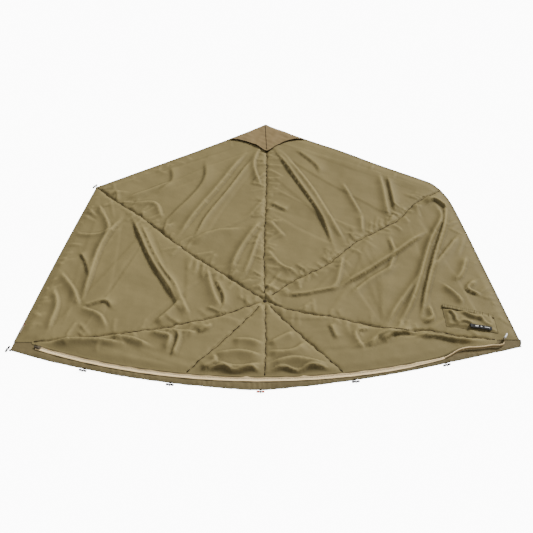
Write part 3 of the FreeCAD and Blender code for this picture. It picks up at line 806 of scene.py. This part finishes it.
def gore_pieces():
    """Eight cloth panels between the seams."""
    seam = SEAM_LINES
    mid = {name: int(np.argmin(np.abs(FRONT_EDGE[:, 0] - x)))
           for name, x in (("left", SEAMS["seam_front_left"][-1][0]), ("centre", SEAMS["seam_front"][-1][0]),
                           ("right", SEAMS["seam_front_right"][-1][0]))}
    panels = {
        "gore_top_right": [seam["seam_shoulder_right"], RIM_LINES["top_right"], seam["seam_apex"][::-1]],
        "gore_top_left": [seam["seam_apex"], RIM_LINES["top_left"], seam["seam_shoulder_left"][::-1]],
        "gore_left": [seam["seam_shoulder_left"], RIM_LINES["left"], RIM_LINES["front_left_end"],
                      seam["seam_side_left"][::-1]],
        "gore_lower_left": [seam["seam_side_left"], FRONT_EDGE[:mid["left"]],
                            seam["seam_front_left"][::-1]],
        "gore_front_left": [seam["seam_front_left"], FRONT_EDGE[mid["left"] + 1:mid["centre"]],
                            seam["seam_front"][::-1]],
        "gore_front_right": [seam["seam_front"], FRONT_EDGE[mid["centre"] + 1:mid["right"]],
                             seam["seam_front_right"][::-1]],
        "gore_lower_right": [seam["seam_front_right"], FRONT_EDGE[mid["right"] + 1:],
                             seam["seam_side_right"][::-1]],
        "gore_right": [seam["seam_side_right"], RIM_LINES["front_right_end"], RIM_LINES["right"],
                       seam["seam_shoulder_right"][::-1]],
    }
    for node, parts in panels.items():
        polygon = tidy_polygon(np.vstack(parts))
        points, faces = panel_mesh(polygon, STEP, FEATURES)
        vertices = np.column_stack([points, relaxed(cloth_height(points), faces)])
        obj = mesh_piece(node.replace("gore", "cloth"), vertices, faces, CLOTH)
        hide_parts(node)
        flat_sheet(obj, polygon, rests_on=["floor"])


def tidy_polygon(points, gap=0.0005):
    """Polygon without repeated neighbours."""
    keep = [0]
    for i in range(1, len(points)):
        if np.linalg.norm(points[i] - points[keep[-1]]) > gap:
            keep.append(i)
    if np.linalg.norm(points[keep[-1]] - points[0]) < gap:
        keep.pop()
    return points[keep]


def seam_pieces():
    """A narrow bound seam, near-black as painted shade of the valley, and two rows of stitches in each valley
    between gores.
    """
    for node, whole in SEAM_LINES.items():
        line = whole[5:-1]
        height = cloth_height(line)
        wave = 0.0006 * np.sin(np.arange(len(line)) * 1.9) + 0.0004 * np.sin(np.arange(len(line)) * 0.7)
        profile = [(-0.0034, -0.0012), (-0.0034, 0.0004), (-0.0008, 0.0012), (0.0008, 0.0012),
                   (0.0034, 0.0004), (0.0034, -0.0012)]
        obj = sweep(node.replace("seam", "binding"), line, profile, SEAM, "skin",
                    height=height + wave)
        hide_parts(node)
        for name, offset in (("left", SEAM_ROW), ("right", -SEAM_ROW)):
            beside = shifted(line, offset)
            row = f"{node.replace('seam', 'stitches')}_{name}"
            stitches(row, beside, cloth_height(beside) + STITCH_LIFT, (0.0,), THREAD)
    centre = np.array(HUB)
    angles = np.linspace(0, 2 * math.pi, 24, endpoint=False)
    ring = centre + HUB_PATCH_RADIUS * np.stack([np.cos(angles), np.sin(angles)], 1)
    points, faces = panel_mesh(ring, 0.002)
    lift = cloth_height(points) + 0.0020 * ease(1 - np.linalg.norm(points - centre, axis=1) / 0.012)
    patch = mesh_piece("hub_reinforcement", np.column_stack([points, lift]), faces, SEAM, "skin")
    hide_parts("hub_patch")


def rim_pieces():
    """Bound hems on the straight edges, with their stitching."""
    profile = [(-0.0026, -0.0030), (-0.0032, 0.0), (-0.0022, 0.0015), (0.0, 0.0020), (0.0022, 0.0015),
               (0.0032, 0.0), (0.0026, -0.0030)]
    runs = {
        "hem_top_left": (RIM_LINES["top_left"], ["edge_top_left", "hood_fold_left"]),
        "hem_left": (RIM_LINES["left"], ["edge_left"]),
        "hem_right": (RIM_LINES["right"], ["edge_right"]),
        "hem_top_right": (RIM_LINES["top_right"], ["edge_top_right", "hood_fold_right"]),
    }
    for name, (line, nodes) in runs.items():
        height = cloth_height(line)
        obj = sweep(name, line, profile, EDGING, "skin", height=height)
        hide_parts(*nodes)
        beside = shifted(line, RIM_ROW)
        row = name.replace("hem", "hem_stitches")
        stitches(row, beside, cloth_height(beside) + STITCH_LIFT, (0.0,), THREAD)


def sewn_points():
    """Where each toggle's elastic is sewn on, from the record's joints."""
    found = {}
    for joint in frame["joints"]:
        if joint["name"].startswith("toggle_") and joint["name"].endswith("_swing"):
            outward = np.array((-joint["axis"][1], joint["axis"][0]))
            found[joint["name"][7:-6]] = np.array(joint["pos_m"][:2]) - outward * CORD_START
    return found


def hem_line():
    """Front hem of the skirt, through the points where the toggles are sewn on."""
    sewn = sewn_points()
    stations = [sewn["corner"]] + [sewn[f"front_{i}"] for i in range(1, 6)]
    points = [stations[0]]
    for start, end in zip(stations, stations[1:]):
        points += bowed(start, end, [(0.5, -HEM_BELLY)])[1:]
    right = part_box("skirt_right")[HIGH].x
    corner = np.array((right, arc_y(right, HEM_RADIUS)))
    points += [corner + (-0.04, -0.01), corner + (-0.015, 0.0), corner + (-0.005, 0.015),
               np.array((right, CORNER_RIGHT[1]))]
    return smooth_line(points, 0.008)


def skirt_height(xy):
    """Height of the skirt: almost flat, puckered along the hem."""
    wave = 0.0009 * ripple(xy, 0.11, 9, 5) + 0.0006 * ripple(xy, 0.040, 9, 6)
    gather = 0.0011 * np.sin(xy[:, 0] * 210 + 3 * np.sin(xy[:, 0] * 23)) * ripple(xy, 0.2, 5, 7)
    below_zip = np.clip(xy[:, 0], -1.18, 1.18)
    free = ease((zip_y(below_zip) - TAPE_HALF - xy[:, 1]) / 0.012)
    return np.clip(0.0022 + 0.0010 * free + (wave + gather) * (0.2 + 0.8 * free), 0.0010, 0.0062)


def skirt_pieces():
    """The ground skirt from under the gores to the front hem, in two halves, and its hem."""
    hem = hem_line()
    tuck = np.array((0, 0.014))
    upper = tuck + np.vstack([RIM_LINES["front_left_end"][:-1], FRONT_EDGE[1:-1],
                              RIM_LINES["front_right_end"]])
    for side, sign in (("left", -1), ("right", 1)):
        lower_part, upper_part = (half_of(line, sign) for line in (hem, upper))
        polygon = tidy_polygon(np.vstack([lower_part, upper_part[::-1]]), 0.002)
        points, faces = panel_mesh(polygon, 0.008)
        vertices = np.column_stack([points, skirt_height(points)])
        obj = mesh_piece(f"skirt_cloth_{side}", vertices, faces, SKIRT, "skin")
        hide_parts(f"skirt_{side}")
    profile = [(-0.0026, -0.0016), (-0.0030, 0.0), (-0.0018, 0.0014), (0.0018, 0.0014), (0.0028, 0.0),
               (0.0026, -0.0016)]
    height = skirt_height(hem) + 0.0004
    sweep("hem_front", hem, profile, EDGING, "skin", height=height)
    stitches("hem_stitches_front", hem, height + 0.0012, HEM_ROWS, THREAD)
    placket = FRONT_EDGE[2:-2]
    profile = [(-0.0024, -0.0020), (-0.0030, 0.0006), (-0.0010, 0.0020), (0.0030, 0.0016), (0.0060, 0.0002),
               (0.0056, -0.0020)]
    sweep("placket_edge", placket, profile, CLOTH, "skin", height=cloth_height(placket) + 0.0006)


def half_of(line, sign):
    """The part of a line on one side of X = 0, with a point at X = 0."""
    i = int(np.flatnonzero(line[:-1, 0] * line[1:, 0] <= 0)[0])
    share = line[i, 0] / (line[i, 0] - line[i + 1, 0])
    middle = line[i] + (line[i + 1] - line[i]) * share
    if sign < 0:
        return np.vstack([line[:i + 1], middle])
    return np.vstack([middle, line[i + 1:]])


def zip_pieces():
    """Two tapes, a coil of teeth on each, the end stops and the stretch that stands on edge."""
    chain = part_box("zip_chain")
    line = zip_line(chain[LOW].x, chain[HIGH].x + 0.005, 0.005)
    rows = np.arange(len(line))
    wave = 0.0005 * np.sin(rows * 0.33) + 0.0004 * np.sin(rows * 0.21 + 1)
    height = ZIP_BASE + wave
    width = 1 - 0.55 * ease((line[:, 0] - line[-1, 0]) / 0.28 + 1)
    inner, outer, thick = 0.0030, TAPE_HALF, 0.0011
    for name, side, node in (("tape_upper", 1, "zip_tape_upper"), ("tape_lower", -1, "zip_tape_lower")):
        profile = [(side * inner, 0), (side * inner, thick), (side * 0.010, thick * 0.8),
                   (side * 0.0135, thick * 1.2), (side * outer, thick * 0.5), (side * outer, -0.0004)]
        obj = sweep(name, line, profile, TAPE, "skin", height=height, width=width)
        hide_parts(node)
    teeth_piece(line, height)
    tail_piece()


def teeth_piece(line, height):
    """Coil teeth: small rounded blocks, alternately from each side."""
    reach = lengths_along(line)
    spots = np.arange(TOOTH_PITCH, reach[-1], TOOTH_PITCH)
    x, y, z = (np.interp(spots, reach, c) for c in (line[:, 0], line[:, 1], height))
    tx, ty = (np.interp(spots, reach, np.gradient(line[:, i], reach)) for i in (0, 1))
    vertices, faces = [], []
    for i in range(len(spots)):
        side = 1 if i % 2 else -1
        start = len(vertices)
        for along, scale in ((-0.00105, 0.75), (0.0, 1.0), (0.00105, 0.75)):
            for across, up in ((0.0040, 0.0006), (0.0034, 0.0019), (-0.0006, 0.0019), (-0.0012, 0.0004)):
                shift = side * across * scale
                vertices.append((x[i] + tx[i] * along - ty[i] * shift, y[i] + ty[i] * along + tx[i] * shift,
                                 z[i] + up * scale))
        for ring in (0, 4):
            for j in range(3):
                a = start + ring + j
                faces.append((a, a + 1, a + 5, a + 4))
        faces.append(tuple(start + j for j in (3, 2, 1, 0)))
        faces.append(tuple(start + 8 + j for j in (0, 1, 2, 3)))
    obj = mesh_piece("zip_coil", vertices, faces, TEETH, "skin")
    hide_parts("zip_chain")
    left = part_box("zip_bottom_stop")[LOW].x
    stop = zip_line(left, left + 0.010, 0.003)
    profile = [(-0.0070, 0.0), (-0.0064, 0.0022), (0.0064, 0.0022), (0.0070, 0.0)]
    stop_piece = sweep("zip_stop", stop, profile, METAL, "skin",
                       height=np.full(len(stop), 0.0045))
    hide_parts("zip_bottom_stop")


def tail_piece():
    """The zip's right end, turned on edge, which curls up to a white end."""
    x = np.arange(TAIL_START - 0.015, TAIL_END - 0.04, 0.045)
    spot = np.mean([corner.to_2d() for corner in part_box("zip_tail_end")], axis=0)
    curl = [spot + away for away in ((-0.02, -0.03), (0.005, -0.02), (0.015, 0.015))]
    line = smooth_line(np.vstack([np.stack([x, zip_y(x)], 1), curl]), 0.005)
    count = len(line)
    share = np.linspace(0, 1, count)
    tall = 0.0012 + 0.0170 * ease(share / 0.40)
    base = 0.0042 + 0.006 * ease((share - 0.80) / 0.2)
    lean = 0.0060 * (1 - ease(share / 0.45)) + 0.002
    left = left_of(line)
    rows = []
    for up, side in ((0.0, -1.0), (1.0, 0.35), (1.04, 0.25), (0.0, -1.15)):
        xy = line + left * (side * lean[:, None])
        rows.append(np.column_stack([xy, base + tall * up]))
    vertices = np.stack(rows, 1).reshape(-1, 3)
    obj = mesh_piece("zip_tail_tape", vertices, strip_faces(count, len(rows)), TAPE, "skin")
    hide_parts("zip_tail")
    end = smooth_line([line[-2], spot + (0.025, 0.025), spot + (0.03, 0.035)], 0.003)
    profile = [(-0.004, 0.0), (-0.0044, 0.018), (-0.002, 0.024), (0.002, 0.024), (0.0044, 0.018),
               (0.004, 0.0)]
    tip = sweep("zip_tail_tip", end, profile, WHITE_END, "skin",
                height=np.full(len(end), 0.0100))
    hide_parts("zip_tail_end")


def hood_pieces():
    """The hood folded back over the apex."""
    low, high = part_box("hood_lip")
    left, right = (low.x + 0.015, high.y - 0.01), (high.x + 0.01, high.y - 0.01)
    tip = (HUB[0] + 0.01, low.y - 0.005)
    lower = smooth_line(bowed(left, tip, [(0.35, 0.02), (0.7, 0.02)])
                        + bowed(tip, right, [(0.3, 0.02), (0.65, 0.03)])[1:])
    upper_right = smooth_line(bowed(right, APEX, [(0.5, 0.0)]))
    upper_left = smooth_line(bowed(APEX, left, [(0.5, 0.0)]))
    polygon = tidy_polygon(np.vstack([lower, upper_right[1:], upper_left[1:-1]]), 0.002)
    points, faces = panel_mesh(polygon, STEP)
    fold = np.vstack([upper_right, upper_left])
    height = hood_height(points, fold, lower)
    obj = mesh_piece("hood_cloth", np.column_stack([points, height]), faces, REVERSE, None)
    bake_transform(obj)
    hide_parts("hood_crown", "hood_lip")
    flat_sheet(obj, polygon, held="folded", rests_on=["cloth_top_left", "cloth_top_right"])
    edge = lower[5:-5]
    edge_height = hood_height(edge, fold, lower)
    profile = [(-0.0016, -0.0012), (-0.0020, 0.0002), (-0.0010, 0.0012), (0.0014, 0.0012), (0.0022, 0.0),
               (0.0018, -0.0012)]
    # the near-black binding along the mouth is the mouth's binding and painted shade of the open mouth under
    # it
    mouth = sweep("hood_mouth_binding", edge, profile, SEAM, None, height=edge_height)
    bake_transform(mouth)
    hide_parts("hood_mouth_left", "hood_mouth_right")
    middle = smooth_line(bowed(np.add(tip, (0, 0.015)), np.add(APEX, (0, -0.02)), [(0.5, 0.0)]), 0.006)
    ridge = hood_height(middle, fold, lower)
    profile = [(-0.0022, -0.0008), (-0.0018, 0.0006), (0.0, 0.0012), (0.0018, 0.0006), (0.0022, -0.0008)]
    seam = sweep("hood_centre_seam", middle, profile, SEAM, None, height=ridge)
    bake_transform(seam)
    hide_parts("hood_seam")


def hood_height(xy, fold, mouth):
    """Height of the folded hood: rounded at its fold, slack at its mouth."""
    from_fold = np.abs(along_line(xy, fold)[0])
    from_mouth = np.abs(along_line(xy, mouth)[0])
    height = 0.0085 + 0.0105 * np.sqrt(np.clip(from_fold / 0.030, 0, 1))
    height += 0.0020 * np.exp(-from_mouth / 0.020)
    height += 0.0022 * ripple(xy, 0.11, 8, 9) + 0.0009 * ripple(xy, 0.045, 8, 10)
    return np.clip(height, 0.006, 0.034)


def pocket_pieces():
    """Patch pocket: slack panel, gathered mouth and woven label."""
    low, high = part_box("pocket_panel")
    mouth_low, mouth_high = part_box("pocket_mouth")
    top_left, top_right = (low.x, mouth_high.y - 0.030), (high.x, mouth_low.y + 0.030)
    bottom_left, bottom_right = (low.x, low.y + POCKET_RISE), (high.x, low.y)
    corners = [top_left, (low.x + 0.09, top_left[1] - 0.020), top_right, bottom_right, bottom_left]
    polygon = tidy_polygon(smooth_corners(corners), 0.002)
    points, faces = panel_mesh(polygon, 0.007)
    obj = mesh_piece("pocket_cloth", np.column_stack([points, pocket_height(points, polygon)]), faces, CLOTH)
    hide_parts("pocket_panel", "pocket_gusset")
    flat_sheet(obj, polygon, held="gathered", rests_on=["cloth_right"])
    sides = [top_left, bottom_left, bottom_right, top_right]
    edge = tidy_polygon(np.vstack([smooth_line([a, b])[:-1] for a, b in zip(sides, sides[1:])]))
    edge_height = np.clip(cloth_height(edge) * 0.6 + 0.0052, 0.010, 0.036)
    profile = [(-0.0018, -0.003), (-0.0020, 0.0), (0.0, 0.0010), (0.0020, 0.0), (0.0018, -0.003)]
    sweep("pocket_edge", edge, profile, CLOTH, "skin", height=edge_height)
    mouth_piece()
    label_piece(polygon)


def pocket_height(points, polygon):
    """Height of the pocket's slack panel."""
    closed = np.vstack([polygon, polygon[:1]])
    rim = np.abs(along_line(points, closed)[0])
    puff = 0.0080 * ease(rim / 0.022)
    low, high = (np.array(corner.to_2d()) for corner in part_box("pocket_panel"))
    for height, left, right, shares in (
            (0.007, 0.014, 0.008, [(0.1, 0.95), (0.2, 0.65), (0.2, 0.35)]),
            (0.007, 0.008, 0.016, [(0.35, 0.9), (0.55, 0.65), (0.8, 0.5)]),
            (0.006, 0.016, 0.008, [(0.2, 0.3), (0.35, 0.45), (0.55, 0.3)]),
            (0.005, 0.008, 0.014, [(0.7, 0.7), (0.8, 0.35), (0.95, 0.25)])):
        line = smooth_line(low + np.array(shares) * (high - low), 0.01)
        puff += fold_height(points, height, left, right, line)
    puff += 0.0016 * ripple(points, 0.055, 8, 12) * ease(rim / 0.015)
    return np.clip(cloth_height(points) * 0.6 + 0.0050 + puff, 0.010, 0.036)


def smooth_corners(corners, step=0.007):
    """Closed line through corners, in straight sides."""
    points = []
    for a, b in zip(corners, corners[1:] + corners[:1]):
        count = max(2, int(math.dist(a, b) / step))
        for t in np.linspace(0, 1, count, endpoint=False):
            points.append((a[0] + (b[0] - a[0]) * t, a[1] + (b[1] - a[1]) * t))
    return np.array(points)


def mouth_piece():
    """Elastic mouth of the pocket, gathered into small pleats."""
    low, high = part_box("pocket_mouth")
    start, end = np.array((low.x + 0.001, high.y - 0.016)), np.array((high.x - 0.001, low.y + 0.016))
    count = 170
    line = start + (end - start) * np.linspace(0, 1, count)[:, None]
    gather = 0.0009 * ripple(line, 0.010, 7, 21) + 0.0007 * ripple(line, 0.035, 5, 22)
    height = np.clip(cloth_height(line) * 0.5 + 0.0105, 0.014, 0.034) + gather
    profile = [(-0.0150, -0.0040), (-0.0140, 0.0), (-0.0070, 0.0026), (0.0, 0.0008), (0.0070, 0.0026),
               (0.0130, 0.0006), (0.0140, -0.0040)]
    obj = sweep("pocket_mouth_elastic", line, profile, CLOTH, "pocket_mouth", height=height)
    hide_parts("pocket_mouth")


def label_piece(pocket):
    """Black woven label, slightly curled, with plain pale bars."""
    low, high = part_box("pocket_label")
    size = high - low
    rise = LABEL_WIDTH * math.sqrt(1 - (size.x / math.hypot(size.x, POCKET_RISE * 0.46)) ** 2)
    x = np.linspace(low.x + 0.004, high.x - 0.004, 30)
    share = np.linspace(0, 1, 30)
    y = low.y + LABEL_WIDTH / 2 + rise + (size.y - LABEL_WIDTH - rise) * (1 - share)
    line = np.stack([x, y], 1)
    half = LABEL_WIDTH / 2
    under = np.maximum(pocket_height(line, pocket), pocket_height(line + (0, 0.8 * half), pocket))
    height = np.convolve(np.pad(under, 4, "edge"), np.ones(9) / 9, "valid") + 0.0014
    height += 0.0030 * ease((0.16 - share) / 0.16)
    profile = [(-half, -0.0006), (-half, -0.0001), (-0.94 * half, 0.0002), (-0.5 * half, 0.0004),
               (0.5 * half, 0.0004), (0.94 * half, 0.0002), (half, -0.0001), (half, -0.0006)]
    obj = sweep("woven_label", line, profile, LABEL, "skin", height=height)
    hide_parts("pocket_label")
    shift = 0.001
    bars = ((0.24, 0.40, 0.0042), (0.46, 0.58, 0.0036), (0.64, 0.90, 0.0020))
    for i, (start, end, half) in enumerate(bars):
        part = (share >= start) & (share <= end)
        profile = [(shift - half, 0.0004), (shift - half, 0.0013), (shift + half, 0.0013),
                   (shift + half, 0.0004)]
        sweep(f"label_bar_{i + 1}", line[part], profile, LABEL_BAR, "skin", height=height[part])


def paint_nodes():
    """Materials of the CAD nodes that show as they are."""
    looks = {"toggle_feet": SEAM, "zip_slider": METAL, "slider_bridge": METAL, "zip_pull": METAL,
             "size_tag": TAG, "size_tag_stripe": TAG_RED}
    for name in NODES:
        if name.startswith("toggle_") and name.endswith("_elastic"):
            looks[name] = ELASTIC
        if name.startswith("toggle_") and name.endswith("_bar"):
            looks[name] = BLACK
    low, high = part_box("toggle_front_3_bar")
    looks["toggle_front_3_bar"] = two_tone("red_toggle", (0.72, 0.16, 0.10), (0.03, 0.012, 0.012),
                                           tuple((low + high) / 2), 0.0065)
    for name, mat in looks.items():
        NODES[name].data.materials.clear()
        NODES[name].data.materials.append(mat)


# ---------------------------------------------------------------- stage
FLOOR_HALF, FLOOR_LEVEL = 15, -0.0006
FLOOR_GLOW = 10.0
SURROUND = 0.27
KEY_PLACE, KEY_POWER, KEY_SPREAD = (3.3, 3.1, 3.1), 6.3, math.radians(16)
CAMERA_TARGET = Vector((0.009, -0.248, 0))
CAMERA_DISTANCE, CAMERA_RISE = 4.367, math.radians(45)
LENS = 52.55                  # millimetres


def floor():
    """Plain pale floor."""
    mat, tree, shader = material("floor", (0.95, 0.95, 0.95), 0.8, specular=0.1)
    shader.inputs["Emission Color"].default_value = (1, 1, 1, 1)
    shader.inputs["Emission Strength"].default_value = FLOOR_GLOW
    mesh = bpy.data.meshes.new("floor")
    corners = [(x * FLOOR_HALF, y * FLOOR_HALF, FLOOR_LEVEL) for x, y in ((-1, -1), (1, -1), (1, 1), (-1, 1))]
    mesh.from_pydata(corners, [], [(0, 1, 2, 3)])
    mesh.materials.append(mat)
    obj = bpy.data.objects.new("floor", mesh)
    bpy.context.scene.collection.objects.link(obj)
    obj.visible_diffuse = False
    obj.visible_glossy = False


def aimed(obj, target):
    """Point an object's -Z at a target."""
    obj.rotation_euler = (Vector(target) - obj.location).to_track_quat("-Z", "Y").to_euler()


def light(name, position, size, power, target=(0, 0, 0)):
    """Soft square light."""
    data = bpy.data.lights.new(name, "AREA")
    data.size = size
    data.energy = power
    obj = bpy.data.objects.new(name, data)
    obj.location = position
    aimed(obj, target)
    bpy.context.scene.collection.objects.link(obj)


def studio():
    """Soft lights, a white surround and the camera."""
    sun = bpy.data.lights.new("key_light", "SUN")
    sun.energy = KEY_POWER
    sun.angle = KEY_SPREAD
    key = bpy.data.objects.new("key_light", sun)
    key.location = KEY_PLACE
    aimed(key, (0, 0, 0))
    bpy.context.scene.collection.objects.link(key)
    light("top_light", (-0.5, 0.4, 5.0), 3.0, 60)
    world = bpy.data.worlds.new("surround")
    world.use_nodes = True
    world.node_tree.nodes["Background"].inputs["Color"].default_value = (1, 1, 1, 1)
    world.node_tree.nodes["Background"].inputs["Strength"].default_value = SURROUND
    bpy.context.scene.world = world
    data = bpy.data.cameras.new("camera")
    data.lens = LENS
    camera = bpy.data.objects.new("camera", data)
    away = Vector((0, -math.cos(CAMERA_RISE), math.sin(CAMERA_RISE)))
    camera.location = CAMERA_TARGET + away * CAMERA_DISTANCE
    aimed(camera, CAMERA_TARGET)
    bpy.context.scene.collection.objects.link(camera)
    bpy.context.scene.camera = camera


gore_pieces()
seam_pieces()
rim_pieces()
skirt_pieces()
zip_pieces()
hood_pieces()
pocket_pieces()
paint_nodes()
floor()
studio()
